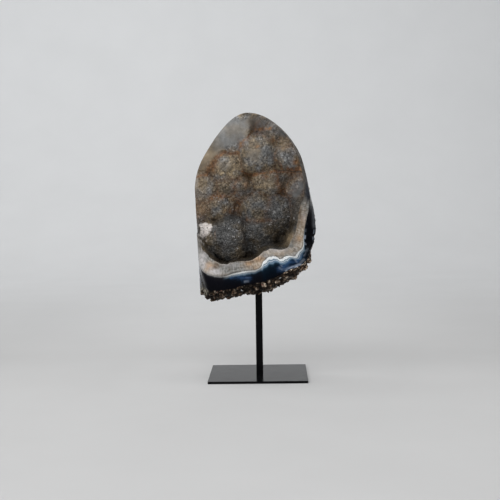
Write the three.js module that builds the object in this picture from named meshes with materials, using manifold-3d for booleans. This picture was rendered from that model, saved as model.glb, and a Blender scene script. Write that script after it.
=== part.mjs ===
// Agate geode chunk on a small steel display stand.
//
// The chunk is a thick piece of geode wall standing on end. Its front is a shallow hollow lined
// with a crust of lumpy drusy quartz. Round the hollow runs a sawn and polished rim, which shows
// the crust in section, then the banded agate. At the sides and the top this rim faces outwards,
// and at the bottom it turns to the front as a broad lip. The back and the underside are
// the rough, knobbly rock that the geode grew in.
//
// Millimetres, +Z up, hollow facing -Y. The origin is the centre of the base plate's underside.

import * as THREE from 'three';
import { mergeVertices } from 'three/addons/utils/BufferGeometryUtils.js';
import Module from 'manifold-3d';

const wasm = await Module();
wasm.setup();

// ---------------------------------------------------------------- driving dimensions

const PLATE_SIDE = 100;
const PLATE_THICKNESS = 2.5;
const PLATE_CORNER = 0.6;

const BAR_SIDE = 7;
const BAR_X = 1.3;
const BAR_TOP = 92;
const PIN_DIAMETER = 5;
const PIN_LENGTH = 20;
const CLEARANCE = 0.3;

const HOLLOW_CENTRE = new THREE.Vector2(-4, 185);
const HOLLOW_FLOOR = -4;
const WALL_AT_SIDES = 30;
const WALL_AT_FRONT = 6;
const CRUST_THICKNESS = 9;
const VALLEY_FILLET = 4;
const CRYSTAL_HEIGHT = 0.9;

// The back's shape. Each pair is for the sides and the top, then for the underside.
const BACK_CENTRE = new THREE.Vector3(-2, 34, 182);
const BACK_SPAN = new THREE.Vector3(60, 34, 92);
const UNDERSIDE_SLOPE = [0.69, 0.925];
const BEHIND_RIM_OUT = [-2.5, 9.5];
const BELLY_OUT = [-8, 11];
const BELLY_Y = 2;
const SHOULDER_SHARE = [0.72, 0.95];
const SHOULDER_Y = [29, 21];
const CROWN_SHARE = 0.45;
const CROWN_Y = 33;
const RIM_FADE = 0.08;

const SAW_FACE_X = -62.2;
const SAW_FACE_TOP = 191;
const SAW_FACE_SLOPE = 0.033;
const SAWN_CORNER = new THREE.Vector3(-55, -16, 99);
const SAWN_CORNER_WAY = new THREE.Vector3(-0.92, -0.39, -0.03).normalize();
const NODULES = 170;
const NODULE_RADIUS = 7;
const NODULE_HEIGHT = 3;

const RINGS = 22;
const HIDDEN_RINGS = 10;

// The polished rim, clockwise from the top as seen from the front. Each row runs across the rim:
// the edge of the hollow, the line where the crust meets the agate, the edge of the rough rock.
const RIM = [
  [[-10, -9, 270], [-10, 0, 269.8], [-9, 14, 266.5]],
  [[6.2, -9, 267.3], [7.2, 0, 267.5], [8.2, 14, 265]],
  [[21.3, -9, 256.8], [23.7, 0, 256.8], [23.8, 14, 254.9]],
  [[33.7, -9.5, 243.5], [37, -1, 242.1], [37.3, 13, 240.5]],
  [[42.3, -10, 227.4], [46, -2, 226.2], [46.5, 12, 224.4]],
  [[46.8, -12, 210], [50.6, -4, 209.2], [51.5, 11, 208.2]],
  [[48.2, -15, 195], [53.4, -6, 194], [54.5, 9, 193]],
  [[48.5, -18, 184], [55, -10, 183], [56.7, 5, 181.5]],
  [[45, -21, 176], [53.8, -15.5, 173.5], [58.9, 0, 171]],
  [[42.5, -25, 166], [51, -20, 163], [60.3, -4, 159]],
  [[41, -28, 156], [48.4, -24, 152], [59.8, -8, 147]],
  [[38, -30, 148], [47.3, -27, 143], [57.8, -12, 138]],
  [[35, -32, 141], [46.5, -30, 135], [55.4, -15, 129.5]],
  [[32, -33, 136], [41.8, -32, 130], [52.5, -20, 123.5]],
  [[28, -33, 133.5], [37.2, -32.6, 125.7], [47.5, -26, 118]],
  [[23, -33, 133], [31, -33, 126], [39.5, -31, 114]],
  [[18, -33, 133.8], [24.7, -33, 121.6], [29.5, -32, 110.4]],
  [[14, -33, 133.6], [19.5, -33, 125.5], [22.5, -32, 106]],
  [[9, -33, 132.2], [11.5, -33, 124.8], [15.5, -32, 103.2]],
  [[4.5, -33, 130], [6.2, -33, 120], [9.5, -32, 100.8]],
  [[0, -33, 126.6], [3.4, -33, 115], [4, -32, 99.6]],
  [[-7, -33, 122.6], [-5, -33, 112.8], [-5, -32, 97.8]],
  [[-16, -33, 122], [-14, -33, 110.9], [-14, -32, 96.3]],
  [[-25, -33, 120.6], [-24, -33, 108.8], [-23.5, -32, 93.8]],
  [[-31, -33, 118.7], [-31.5, -33, 106.2], [-32.5, -32, 92.2]],
  [[-38, -33, 120.4], [-40.5, -33, 106], [-41, -32, 91.6]],
  [[-45.5, -32.5, 124.3], [-49, -32, 108.2], [-48.8, -30, 91.8]],
  [[-53, -31, 131.6], [-56, -28, 113], [-55, -16, 99]],
  [[-57.9, -27, 141], [-59.4, -19, 127], [-59.3, -8, 113]],
  [[-60, -19, 151.5], [-60.4, -9, 142], [-60.4, 6, 129]],
  [[-61, -12.5, 164], [-61.1, -3, 158], [-61.1, 12, 149]],
  [[-61.7, -10, 180], [-61.7, 0, 178], [-61.6, 15, 174]],
  [[-62, -9, 197], [-62, 0, 197], [-61.8, 16, 196]],
  [[-59, -9, 212.5], [-59, 0, 212.5], [-58.8, 16, 211]],
  [[-50.8, -9, 229.5], [-50.8, 0, 229.5], [-50.3, 16, 227.8]],
  [[-37.7, -9, 248.6], [-37.6, 0, 248.6], [-36.8, 15, 246.6]],
  [[-22.5, -9, 264.3], [-22.5, 0, 264.2], [-21.6, 15, 261.5]],
];

// The lumps of the crust: x, z, radius of the ball, and how far its top stands at -Y.
const LUMPS = [
  [-27, 253, 42, 15.5],
  [2, 227.5, 24, 19.5],
  [22, 253, 20, 14],
  [5, 263, 16, 12.5],
  [32, 240, 13, 13.5],
  [33, 224, 18, 17.5],
  [45, 194, 16, 17],
  [12, 199, 18, 15.5],
  [23, 167.5, 21.5, 20],
  [1, 172, 21, 18],
  [5, 151, 21, 17.5],
  [-27, 144, 24.5, 21.5],
  [-53, 194, 19, 14.5],
  [-37, 177, 16, 14.5],
  [-55, 172, 15, 12.5],
  [-53, 152, 14, 14],
  [-29, 216, 21, 16],
  [-48, 222, 20, 12.7],
  [-15, 192, 16, 14.5],
  [5, 134, 14, 14.5],
  [28, 203, 14, 12.5],
  [-29, 196, 14, 14],
  [-27, 133, 17, 20],
  [-42, 138, 13, 18],
];

// Knobs of rock along the front of the underside: x, y, z, radius.
const KNOBS = [
  [-54, -20, 94.5, 4.5],
  [-45, -23, 90.5, 5],
  [-36, -24, 90, 6],
  [-27, -24, 90.5, 6.5],
  [-18, -24, 92, 6],
  [-8, -24, 94, 6.5],
  [1, -24, 95.5, 6],
  [10, -24, 97, 6.5],
  [19, -23, 101, 6],
  [27, -22, 103, 5.5],
  [36, -21, 108.5, 4.5],
  [43, -18, 113, 4],
  [49, -15, 118, 4],
  [53.5, -11, 121, 8],
];

// ---------------------------------------------------------------- rim and surfaces

const smoothstep = THREE.MathUtils.smoothstep;
const lerp = THREE.MathUtils.lerp;

function closedCurve(points) {
  const vectors = points.map((p) => new THREE.Vector3(...p));
  return new THREE.CatmullRomCurve3(vectors, true, 'centripetal');
}

const hollowEdge = closedCurve(RIM.map((row) => row[0]));
const crustLine = closedCurve(RIM.map((row) => row[1]));
const rockEdge = closedCurve(RIM.map((row) => row[2]));

// How far round the rim each row lies, from 0 to 1, measured along the crust line.
const rowTurns = [0];
for (let i = 0; i < RIM.length; i += 1) {
  const from = new THREE.Vector3(...RIM[i][1]);
  const to = new THREE.Vector3(...RIM[(i + 1) % RIM.length][1]);
  rowTurns.push(rowTurns[i] + from.distanceTo(to));
}
const rimLength = rowTurns[RIM.length];

// The three curves share their rows, so one parameter finds matching points on all of them.
function rowAt(turn) {
  const along = (turn % 1) * rimLength;
  let row = 0;
  while (rowTurns[row + 1] < along) row += 1;
  const part = (along - rowTurns[row]) / (rowTurns[row + 1] - rowTurns[row]);
  return (row + part) / RIM.length;
}

// 0 where the rim faces sideways or up, 1 where it faces the front.
function facing(edge, rock) {
  const across = Math.hypot(rock.x - edge.x, rock.z - edge.z);
  return smoothstep(Math.atan2(across, rock.y - edge.y) / (Math.PI / 2), 0.15, 0.75);
}

function rimAt(turn) {
  const row = rowAt(turn);
  const edge = hollowEdge.getPoint(row);
  const line = crustLine.getPoint(row);
  const rock = rockEdge.getPoint(row);
  return { edge, line, rock, front: facing(edge, rock) };
}

// A bowl whose wall falls from the rim point to a level floor; reach runs from 0 at the centre to 1.
function bowl(rimPoint, reach, front, floor) {
  const centre = HOLLOW_CENTRE;
  const radius = Math.hypot(rimPoint.x - centre.x, rimPoint.z - centre.y);
  const wall = lerp(WALL_AT_SIDES, WALL_AT_FRONT, front);
  const depth = smoothstep((1 - reach) * radius, 0, wall);
  return new THREE.Vector3(
    lerp(centre.x, rimPoint.x, reach),
    lerp(rimPoint.y, floor, depth),
    lerp(centre.y, rimPoint.z, reach),
  );
}

// The nearer of two heights along -Y, with a small fillet where they meet.
function filletedMin(a, b) {
  const overlap = Math.max(VALLEY_FILLET - Math.abs(a - b), 0) / VALLEY_FILLET;
  return Math.min(a, b) - overlap * overlap * VALLEY_FILLET / 4;
}

function withLumps(point) {
  let y = point.y;
  for (const [x, z, radius, top] of LUMPS) {
    const off = Math.hypot(point.x - x, point.z - z);
    if (off >= radius) continue;
    y = filletedMin(y, radius - top - Math.sqrt(radius * radius - off * off));
  }
  return new THREE.Vector3(point.x, y, point.z);
}

// One point in three of the triangle lattice stands up as the tip of a flat-faced crystal.
const HEX_STEPS = [[1, 0], [0, 1], [-1, 1], [-1, 0], [0, -1], [1, -1]];

function isCrystalTip(ring, index) {
  const sector = Math.floor(index / ring);
  const along = index - sector * ring;
  const [q1, r1] = HEX_STEPS[sector];
  const [q2, r2] = HEX_STEPS[(sector + 2) % 6];
  const q = ring * q1 + along * q2;
  const r = ring * r1 + along * r2;
  return (q - r) % 3 === 0;
}

function drusePoint(turn, ring, index) {
  const rim = rimAt(turn);
  const reach = ring / RINGS;
  const point = withLumps(bowl(rim.edge, reach, rim.front, HOLLOW_FLOOR));
  const atRim = ring === RINGS;
  if (ring > 0 && !atRim && isCrystalTip(ring, index)) point.y -= CRYSTAL_HEIGHT;
  return point;
}

function crustBack(turn, reach) {
  const rim = rimAt(turn);
  return bowl(rim.line, reach, rim.front, HOLLOW_FLOOR + CRUST_THICKNESS);
}

// The agate's side of the joint: the crust's back, moved back and outwards by the clearance.
function agateBowl(turn, reach) {
  const point = crustBack(turn, reach);
  const out = new THREE.Vector2(point.x, point.z).sub(HOLLOW_CENTRE);
  out.setLength(CLEARANCE * reach);
  return point.add(new THREE.Vector3(out.x, CLEARANCE, out.y));
}

// The profile from the rock edge over the belly and the underside to the middle of the back.
function backProfile(turn) {
  const { rock, front } = rimAt(turn);
  const out = new THREE.Vector3(rock.x - BACK_CENTRE.x, 0, rock.z - BACK_CENTRE.z);
  const under = smoothstep(-out.z / out.length(), ...UNDERSIDE_SLOPE);
  const blend = ([side, below]) => lerp(side, below, under);
  const inward = (share, y) => new THREE.Vector3(
    BACK_CENTRE.x + out.x * share,
    y,
    BACK_CENTRE.z + out.z * share,
  );
  const beyond = (distance, y) => {
    const step = out.clone().setLength(distance);
    return new THREE.Vector3(rock.x + step.x, y, rock.z + step.z);
  };
  return new THREE.CatmullRomCurve3([
    rock,
    beyond(blend(BEHIND_RIM_OUT), rock.y + lerp(5, 8, front)),
    beyond(blend(BELLY_OUT), lerp(rock.y + 10, BELLY_Y, front)),
    inward(blend(SHOULDER_SHARE), blend(SHOULDER_Y)),
    inward(CROWN_SHARE, CROWN_Y),
    BACK_CENTRE,
  ]);
}

// Seeded numbers from 0 to 1, the same at every run.
function randomStream(seed) {
  let state = seed;
  return () => {
    state = (Math.imul(state, 1664525) + 1013904223) >>> 0;
    return state / 4294967296;
  };
}

// Knobbly rock: balls spread over the back by the golden ratio, nearly touching.
const GOLDEN = (Math.sqrt(5) - 1) / 2;
const random = randomStream(7);
const nodules = KNOBS.map(([x, y, z, radius]) => ({ centre: new THREE.Vector3(x, y, z), radius }));
for (let i = 0; i < NODULES; i += 1) {
  const reach = Math.sqrt((i + 0.5) / NODULES);
  const centre = backProfile((i * GOLDEN) % 1).getPointAt(1 - reach);
  nodules.push({ centre, radius: NODULE_RADIUS * (0.8 + 0.7 * random()) });
}

function outwardFrom(point) {
  return new THREE.Vector3(
    (point.x - BACK_CENTRE.x) / BACK_SPAN.x ** 2,
    point.y / BACK_SPAN.y ** 2,
    (point.z - BACK_CENTRE.z) / BACK_SPAN.z ** 2,
  ).normalize();
}

// The rock is sawn flat on the side at -X, and again across its lower front corner.
function sawn(point) {
  point.x = Math.max(point.x, SAW_FACE_X + (SAW_FACE_TOP - point.z) * SAW_FACE_SLOPE);
  const beyond = point.clone().sub(SAWN_CORNER).dot(SAWN_CORNER_WAY);
  if (beyond > 0) point.addScaledVector(SAWN_CORNER_WAY, -beyond);
  return point;
}

function backPoint(turn, reach) {
  const point = backProfile(turn).getPointAt(1 - reach);
  let swell = 0;
  for (const { centre, radius } of nodules) {
    const off = centre.distanceTo(point) / radius;
    if (off < 1) swell = Math.max(swell, (1 - off * off) * radius / NODULE_RADIUS);
  }
  const fromEdge = smoothstep(1 - reach, 0, RIM_FADE);
  point.addScaledVector(outwardFrom(point), (swell - 0.5) * NODULE_HEIGHT * fromEdge);
  return sawn(point);
}

// ---------------------------------------------------------------- closed shells from rings

// A ring of points, or one point for a count of 0.
function ringOf(count, place) {
  const points = [];
  for (let i = 0; i < Math.max(count, 1); i += 1) points.push(place(i / Math.max(count, 1), i));
  return points;
}

// Discs are triangle lattices: ring k has 6k points.
function discRings(rings, place) {
  const list = [];
  for (let ring = 0; ring <= rings; ring += 1) {
    list.push(ringOf(6 * ring, (turn, index) => place(turn, ring, index)));
  }
  return list;
}

// Joins each ring to the next, so the list runs from one pole to the other and closes a solid.
function shellGeometry(rings) {
  const positions = [];
  const starts = [];
  for (const ring of rings) {
    starts.push(positions.length / 3);
    for (const p of ring) positions.push(p.x, p.y, p.z);
  }
  const triangles = [];
  for (let n = 0; n + 1 < rings.length; n += 1) {
    const a = rings[n].length;
    const b = rings[n + 1].length;
    const atA = (i) => starts[n] + (i % a);
    const atB = (j) => starts[n + 1] + (j % b);
    let i = 0;
    let j = 0;
    while ((a > 1 && i < a) || (b > 1 && j < b)) {
      const lead = (j + 1) * a - (i + 1) * b;
      const turnOfA = b === 1 || j === b || lead > 0 || (lead === 0 && a <= b);
      if (a > 1 && i < a && turnOfA) {
        triangles.push(atA(i), atA(i + 1), atB(j));
        i += 1;
      } else {
        triangles.push(atA(i), atB(j + 1), atB(j));
        j += 1;
      }
    }
  }
  const geometry = new THREE.BufferGeometry();
  geometry.setAttribute('position', new THREE.Float32BufferAttribute(positions, 3));
  geometry.setIndex(triangles);
  return geometry;
}

const rimPoints = 6 * RINGS;

function crustGeometry() {
  const front = discRings(RINGS, drusePoint);
  const line = ringOf(rimPoints, (turn) => crustBack(turn, 1));
  const back = discRings(HIDDEN_RINGS, (turn, ring) => crustBack(turn, ring / (HIDDEN_RINGS + 1)));
  return shellGeometry([...front, line, ...back.reverse()]);
}

function agateGeometry() {
  const hollow = discRings(HIDDEN_RINGS, (turn, ring) => agateBowl(turn, ring / (HIDDEN_RINGS + 1)));
  const line = ringOf(rimPoints, (turn) => agateBowl(turn, 1));
  const middle = ringOf(rimPoints, (turn) => agateBowl(turn, 1).lerp(rimAt(turn).rock, 0.5));
  const back = discRings(RINGS, (turn, ring) => backPoint(turn, ring / RINGS));
  return shellGeometry([...hollow, line, middle, ...back.reverse()]);
}

// ---------------------------------------------------------------- joining and cutting

function solidOf(geometry) {
  const bare = geometry.clone();
  bare.deleteAttribute('normal');
  bare.deleteAttribute('uv');
  const merged = mergeVertices(bare, 1e-4);
  return new wasm.Manifold(new wasm.Mesh({
    numProp: 3,
    vertProperties: new Float32Array(merged.attributes.position.array),
    triVerts: new Uint32Array(merged.index.array),
  }));
}

function geometryOf(solid) {
  const mesh = solid.getMesh();
  const geometry = new THREE.BufferGeometry();
  geometry.setAttribute('position', new THREE.Float32BufferAttribute(mesh.vertProperties, 3));
  geometry.setIndex([...mesh.triVerts]);
  return geometry;
}

function uprightBox(side, bottom, top) {
  const box = new THREE.BoxGeometry(side, side, top - bottom);
  return box.translate(BAR_X, 0, (bottom + top) / 2);
}

function uprightRod(diameter, bottom, top) {
  const rod = new THREE.CylinderGeometry(diameter / 2, diameter / 2, top - bottom, 24);
  return rod.rotateX(Math.PI / 2).translate(BAR_X, 0, (bottom + top) / 2);
}

// ---------------------------------------------------------------- the four pieces

function druseCrust() {
  const material = new THREE.MeshStandardMaterial({ color: 0x7a6f63, roughness: 0.75, metalness: 0 });
  return new THREE.Mesh(crustGeometry(), material);
}

// The chunk has a square recess for the bar and a drilled hole for its pin.
function agateChunk() {
  const below = BAR_TOP - 25;
  const recess = uprightBox(BAR_SIDE + 2 * CLEARANCE, below, BAR_TOP + CLEARANCE);
  const hole = uprightRod(PIN_DIAMETER + 2 * CLEARANCE, below, BAR_TOP + PIN_LENGTH + CLEARANCE);
  const chunk = solidOf(agateGeometry()).subtract(solidOf(recess)).subtract(solidOf(hole));
  const material = new THREE.MeshStandardMaterial({ color: 0x2a3340, roughness: 0.3, metalness: 0 });
  return new THREE.Mesh(geometryOf(chunk), material);
}

function standPost() {
  const bar = uprightBox(BAR_SIDE, PLATE_THICKNESS + CLEARANCE / 10, BAR_TOP);
  const pin = uprightRod(PIN_DIAMETER, BAR_TOP - BAR_SIDE, BAR_TOP + PIN_LENGTH);
  const material = new THREE.MeshStandardMaterial({ color: 0x111111, roughness: 0.35, metalness: 0.3 });
  return new THREE.Mesh(geometryOf(solidOf(bar).add(solidOf(pin))), material);
}

function standBase() {
  const half = PLATE_SIDE / 2;
  const outline = new THREE.Shape();
  const corners = [[1, 1], [-1, 1], [-1, -1], [1, -1]];
  for (const [i, [sx, sy]] of corners.entries()) {
    const start = i * Math.PI / 2;
    const r = PLATE_CORNER;
    outline.absarc(sx * (half - r), sy * (half - r), r, start, start + Math.PI / 2);
  }
  const geometry = new THREE.ExtrudeGeometry(outline, {
    depth: PLATE_THICKNESS,
    bevelEnabled: false,
    curveSegments: 3,
  });
  const material = new THREE.MeshStandardMaterial({ color: 0x101010, roughness: 0.2, metalness: 0.3 });
  return new THREE.Mesh(geometry, material);
}

const pieces = {
  agate_chunk: agateChunk(),
  druse_crust: druseCrust(),
  stand_post: standPost(),
  stand_base: standBase(),
};

const chunkOnStand = new THREE.Group();
for (const [name, mesh] of Object.entries(pieces)) {
  mesh.name = name;
  chunkOnStand.add(mesh);
}

export default chunkOnStand;
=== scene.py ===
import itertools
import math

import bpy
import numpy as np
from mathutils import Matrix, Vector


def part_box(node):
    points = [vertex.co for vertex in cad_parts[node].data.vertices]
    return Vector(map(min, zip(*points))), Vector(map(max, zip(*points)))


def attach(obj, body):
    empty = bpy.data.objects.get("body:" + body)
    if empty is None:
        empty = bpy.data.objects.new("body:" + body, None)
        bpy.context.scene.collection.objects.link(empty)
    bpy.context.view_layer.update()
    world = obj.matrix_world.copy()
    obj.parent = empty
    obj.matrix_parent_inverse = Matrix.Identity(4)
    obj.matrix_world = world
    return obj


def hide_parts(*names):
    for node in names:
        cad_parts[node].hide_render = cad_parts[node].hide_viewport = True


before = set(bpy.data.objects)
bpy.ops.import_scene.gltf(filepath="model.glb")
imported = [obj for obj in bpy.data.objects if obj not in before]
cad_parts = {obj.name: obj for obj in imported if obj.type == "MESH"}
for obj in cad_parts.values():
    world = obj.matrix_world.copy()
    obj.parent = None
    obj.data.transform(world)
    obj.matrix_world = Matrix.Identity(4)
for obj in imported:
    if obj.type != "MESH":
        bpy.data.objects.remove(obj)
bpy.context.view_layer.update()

# Agate geode chunk on its steel stand.
#
# The chunk is built from the same named values as its CAD solid, in millimetres in the frame of
# the stand, and turned into metres when the meshes are made. The rim of the hollow, the lumps of
# the crust and the profile of the back are the CAD's. What is added here is the fine surface:
# quartz crystals over the lumps, the layers of the agate, and the grains of the rock.

MM = 0.001

# ------------------ values shared with the CAD

HOLLOW_CENTRE = np.array([-4.0, 185.0])
HOLLOW_FLOOR = -4.0
WALL_AT_SIDES = 30.0
WALL_AT_FRONT = 6.0
CRUST_THICKNESS = 9.0
BACK_CENTRE = np.array([-2.0, 34.0, 182.0])
BACK_SPAN = np.array([60.0, 34.0, 92.0])
SAW_FACE_X = -62.2
SAW_FACE_TOP = 191.0
SAW_FACE_SLOPE = 0.033
SAWN_CORNER = np.array([-55.0, -16.0, 99.0])
SAWN_CORNER_WAY = np.array([-0.92, -0.39, -0.03])
NODULES = 170
NODULE_RADIUS = 7.0
NODULE_HEIGHT = 3.0

# The back's profile: how far out, how far back, or at what share of the way from the middle.
# Each pair is for the sides and the top, then for the underside.
UNDERSIDE_SLOPE = (0.69, 0.925)
BEHIND_RIM_OUT = (-2.5, 9.5)
BEHIND_RIM_BACK = (5, 8)
BELLY_OUT = (-8, 11)
BELLY_BACK = 10
BELLY_Y = 2
SHOULDER_SHARE = (0.72, 0.95)
SHOULDER_Y = (29, 21)
CROWN_SHARE = 0.45
CROWN_Y = 33.0
RIM_FADE = 0.08
PROFILE_STEPS = 16

# Rows across the polished rim, clockwise from the top as seen from the front: the edge of the
# hollow, the line where the crust meets the agate, the edge of the rough rock.
RIM = np.array([
    [[-10, -9, 270], [-10, 0, 269.8], [-9, 14, 266.5]],
    [[6.2, -9, 267.3], [7.2, 0, 267.5], [8.2, 14, 265]],
    [[21.3, -9, 256.8], [23.7, 0, 256.8], [23.8, 14, 254.9]],
    [[33.7, -9.5, 243.5], [37, -1, 242.1], [37.3, 13, 240.5]],
    [[42.3, -10, 227.4], [46, -2, 226.2], [46.5, 12, 224.4]],
    [[46.8, -12, 210], [50.6, -4, 209.2], [51.5, 11, 208.2]],
    [[48.2, -15, 195], [53.4, -6, 194], [54.5, 9, 193]],
    [[48.5, -18, 184], [55, -10, 183], [56.7, 5, 181.5]],
    [[45, -21, 176], [53.8, -15.5, 173.5], [58.9, 0, 171]],
    [[42.5, -25, 166], [51, -20, 163], [60.3, -4, 159]],
    [[41, -28, 156], [48.4, -24, 152], [59.8, -8, 147]],
    [[38, -30, 148], [47.3, -27, 143], [57.8, -12, 138]],
    [[35, -32, 141], [46.5, -30, 135], [55.4, -15, 129.5]],
    [[32, -33, 136], [41.8, -32, 130], [52.5, -20, 123.5]],
    [[28, -33, 133.5], [37.2, -32.6, 125.7], [47.5, -26, 118]],
    [[23, -33, 133], [31, -33, 126], [39.5, -31, 114]],
    [[18, -33, 133.8], [24.7, -33, 121.6], [29.5, -32, 110.4]],
    [[14, -33, 133.6], [19.5, -33, 125.5], [22.5, -32, 106]],
    [[9, -33, 132.2], [11.5, -33, 124.8], [15.5, -32, 103.2]],
    [[4.5, -33, 130], [6.2, -33, 120], [9.5, -32, 100.8]],
    [[0, -33, 126.6], [3.4, -33, 115], [4, -32, 99.6]],
    [[-7, -33, 122.6], [-5, -33, 112.8], [-5, -32, 97.8]],
    [[-16, -33, 122], [-14, -33, 110.9], [-14, -32, 96.3]],
    [[-25, -33, 120.6], [-24, -33, 108.8], [-23.5, -32, 93.8]],
    [[-31, -33, 118.7], [-31.5, -33, 106.2], [-32.5, -32, 92.2]],
    [[-38, -33, 120.4], [-40.5, -33, 106], [-41, -32, 91.6]],
    [[-45.5, -32.5, 124.3], [-49, -32, 108.2], [-48.8, -30, 91.8]],
    [[-53, -31, 131.6], [-56, -28, 113], [-55, -16, 99]],
    [[-57.9, -27, 141], [-59.4, -19, 127], [-59.3, -8, 113]],
    [[-60, -19, 151.5], [-60.4, -9, 142], [-60.4, 6, 129]],
    [[-61, -12.5, 164], [-61.1, -3, 158], [-61.1, 12, 149]],
    [[-61.7, -10, 180], [-61.7, 0, 178], [-61.6, 15, 174]],
    [[-62, -9, 197], [-62, 0, 197], [-61.8, 16, 196]],
    [[-59, -9, 212.5], [-59, 0, 212.5], [-58.8, 16, 211]],
    [[-50.8, -9, 229.5], [-50.8, 0, 229.5], [-50.3, 16, 227.8]],
    [[-37.7, -9, 248.6], [-37.6, 0, 248.6], [-36.8, 15, 246.6]],
    [[-22.5, -9, 264.3], [-22.5, 0, 264.2], [-21.6, 15, 261.5]],
], dtype=float)

# Lumps of the crust: x, z, radius of the ball, how far its top stands at -Y.
LUMPS = [
    (-27, 253, 42, 15.5), (2, 227.5, 24, 19.5), (22, 253, 20, 14), (5, 263, 16, 12.5), (32, 240, 13, 13.5),
    (33, 224, 18, 17.5), (45, 194, 16, 17), (12, 199, 18, 15.5), (23, 167.5, 21.5, 20), (1, 172, 21, 18),
    (5, 151, 21, 17.5), (-27, 144, 24.5, 21.5), (-53, 194, 19, 14.5), (-37, 177, 16, 14.5),
    (-55, 172, 15, 12.5), (-53, 152, 14, 14), (-29, 216, 21, 16), (-48, 222, 20, 12.7),
    (-15, 192, 16, 14.5), (5, 134, 14, 14.5), (28, 203, 14, 12.5), (-29, 196, 14, 14), (-27, 133, 17, 20),
    (-42, 138, 13, 18),
]

# Knobs of rock along the front of the underside: x, y, z, radius.
KNOBS = [
    (-54, -20, 94.5, 4.5), (-45, -23, 90.5, 5), (-36, -24, 90, 6), (-27, -24, 90.5, 6.5), (-18, -24, 92, 6),
    (-8, -24, 94, 6.5), (1, -24, 95.5, 6), (10, -24, 97, 6.5), (19, -23, 101, 6), (27, -22, 103, 5.5),
    (36, -21, 108.5, 4.5), (43, -18, 113, 4), (49, -15, 118, 4), (53.5, -11, 121, 8),
]

# ------------------ values of the fine surface

# Lone grains (or gaps, below 0) along the edge of the rock: x, z, radius, height.
LONE_GRAINS = [
    (55, 120.5, 4.2, 12), (50, 115, 2.8, 3), (49, 109.5, 2, 3), (58, 123, 3, 6), (46.5, 106.5, 2.6, -5),
    (44, 104.5, 1.8, -3.8), (40, 101.5, 3, 1.5), (33.5, 98, 3, -2), (32, 96, 1.8, -2), (25, 93, 8, -1.3),
    (16, 90, 1.8, -2.2), (11.2, 88, 1.6, 2.2), (4, 86, 12, -0.4), (-13, 84, 4, -2.2), (-32.5, 80, 4, -3.6),
    (-40.2, 81.5, 1.8, 2.2), (-48.5, 83, 3.2, -4), (-54, 80.5, 4, -3.2), (-59, 82.5, 4, -3),
]

# Small moves of the white line along the lip: x, half width, how far up.
LINE_MOVES = [(26.2, 3.4, 1.8), (-2.5, 6.5, -1.3)]

DRUSE_RINGS = 168
ROCK_RINGS = 150
HIDDEN_RINGS = 10
CUT_ROWS = 8
AGATE_ROWS = 8
VALLEY_FILLET = 6.0
SHARE_SOFTNESS = 1.8
CRYSTAL_SIZES = (2.6, 1.3)
CRYSTAL_LEAN = 0.9

# The hollow's edge along the lip wanders, drops a little all along and dips once; the wall is
# undercut behind it.
LIP_WANDER = 0.8
LIP_DROP = 0.8
LIP_DIP = 1.2
LIP_DIP_X = 1.5
LIP_DIP_HALF_WIDTH = 6
LIP_TUCK = 0.65

# Rock: knobs with smaller grains on them, and how far each stands out.
ROCK_GRAIN_SIZES = (6.5, 2.6)
KNOB_HEIGHT = 2.8
EDGE_CHIPS = 1.0

# Agate: the depth of one run of the bands, in metres, and the colour of the painted reflection at its
# edges.
BAND_DEPTH = 0.016
PAINTED_REFLECTION_COLOUR = (0.27, 0.285, 0.315)

# How pale and how brown each lump is, in the order of LUMPS; the last is the bare wall.
PALEST, PALE, MID, DUSKY, DARK, DARKEST = 0.27, 0.2, 0.14, 0.09, 0.06, 0.035
COOL, WARM, RUSTY = 0.15, 0.5, 0.85
# The lower lumps and the bare wall are darker, partly as painted shade low in the hollow.
LUMP_LOOKS = np.array([
    (PALEST, COOL), (MID, WARM), (MID, WARM), (DUSKY, WARM), (MID, WARM),
    (MID, WARM), (MID, COOL), (MID, RUSTY), (DARK, COOL), (DUSKY, WARM),
    (DARK, WARM), (DARK, COOL), (PALE, WARM), (MID, WARM), (PALE, RUSTY),
    (PALE, WARM), (PALE, RUSTY), (PALE, RUSTY), (DUSKY, RUSTY), (DARKEST, WARM),
    (DARK, RUSTY), (MID, RUSTY), (DARK, WARM), (DARK, RUSTY), (DARKEST, RUSTY),
])

# Marks on the crust and the cut faces: x, z, half width, half height, strength.
RUST = [
    (-43, 216, 4, 5, 0.8), (-47, 214, 5, 6, 0.5), (-16, 238, 2.5, 4, 0.8), (2, 236, 2.2, 1.3, 0.8),
    (1, 258, 5, 6, 0.3), (18, 242, 2, 3, 0.6), (40, 220, 4, 2.5, 1), (22, 199, 2, 9, 0.5),
    (27, 192, 4, 4, 0.6), (10, 204, 4, 2, 0.8), (-56, 170, 6, 8, 0.65), (-45, 184, 4, 3, 0.6),
    (-37, 187, 5, 3, 1), (-26, 171, 7, 3, 0.7), (-19, 180, 4, 9, 0.6), (-23, 193, 2, 7, 0.4),
    (-10, 196, 3, 4, 0.5), (-17, 202, 3, 2, 0.5), (5, 161, 11, 2, 0.6), (39, 143, 3, 3, 0.8),
    (-42, 147, 1, 4, 0.5), (-9, 162, 2, 4, 0.4),
]
# Tan marks; the one on the right inner wall at (34, 142) is painted light where the wall is lit.
TAN = [
    (-56, 172, 4, 7, 0.4), (-50, 228, 6, 8, 0.8), (26, 236, 5, 4, 0.7), (-54, 195, 7, 10, 0.4),
    (14, 198, 6, 4, 0.5), (-4, 249, 3, 3, 0.3), (-58, 132, 6, 9, 0.4), (34, 142, 6, 7, 0.8),
    (-54, 212, 5, 4, 0.5),
]
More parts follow.
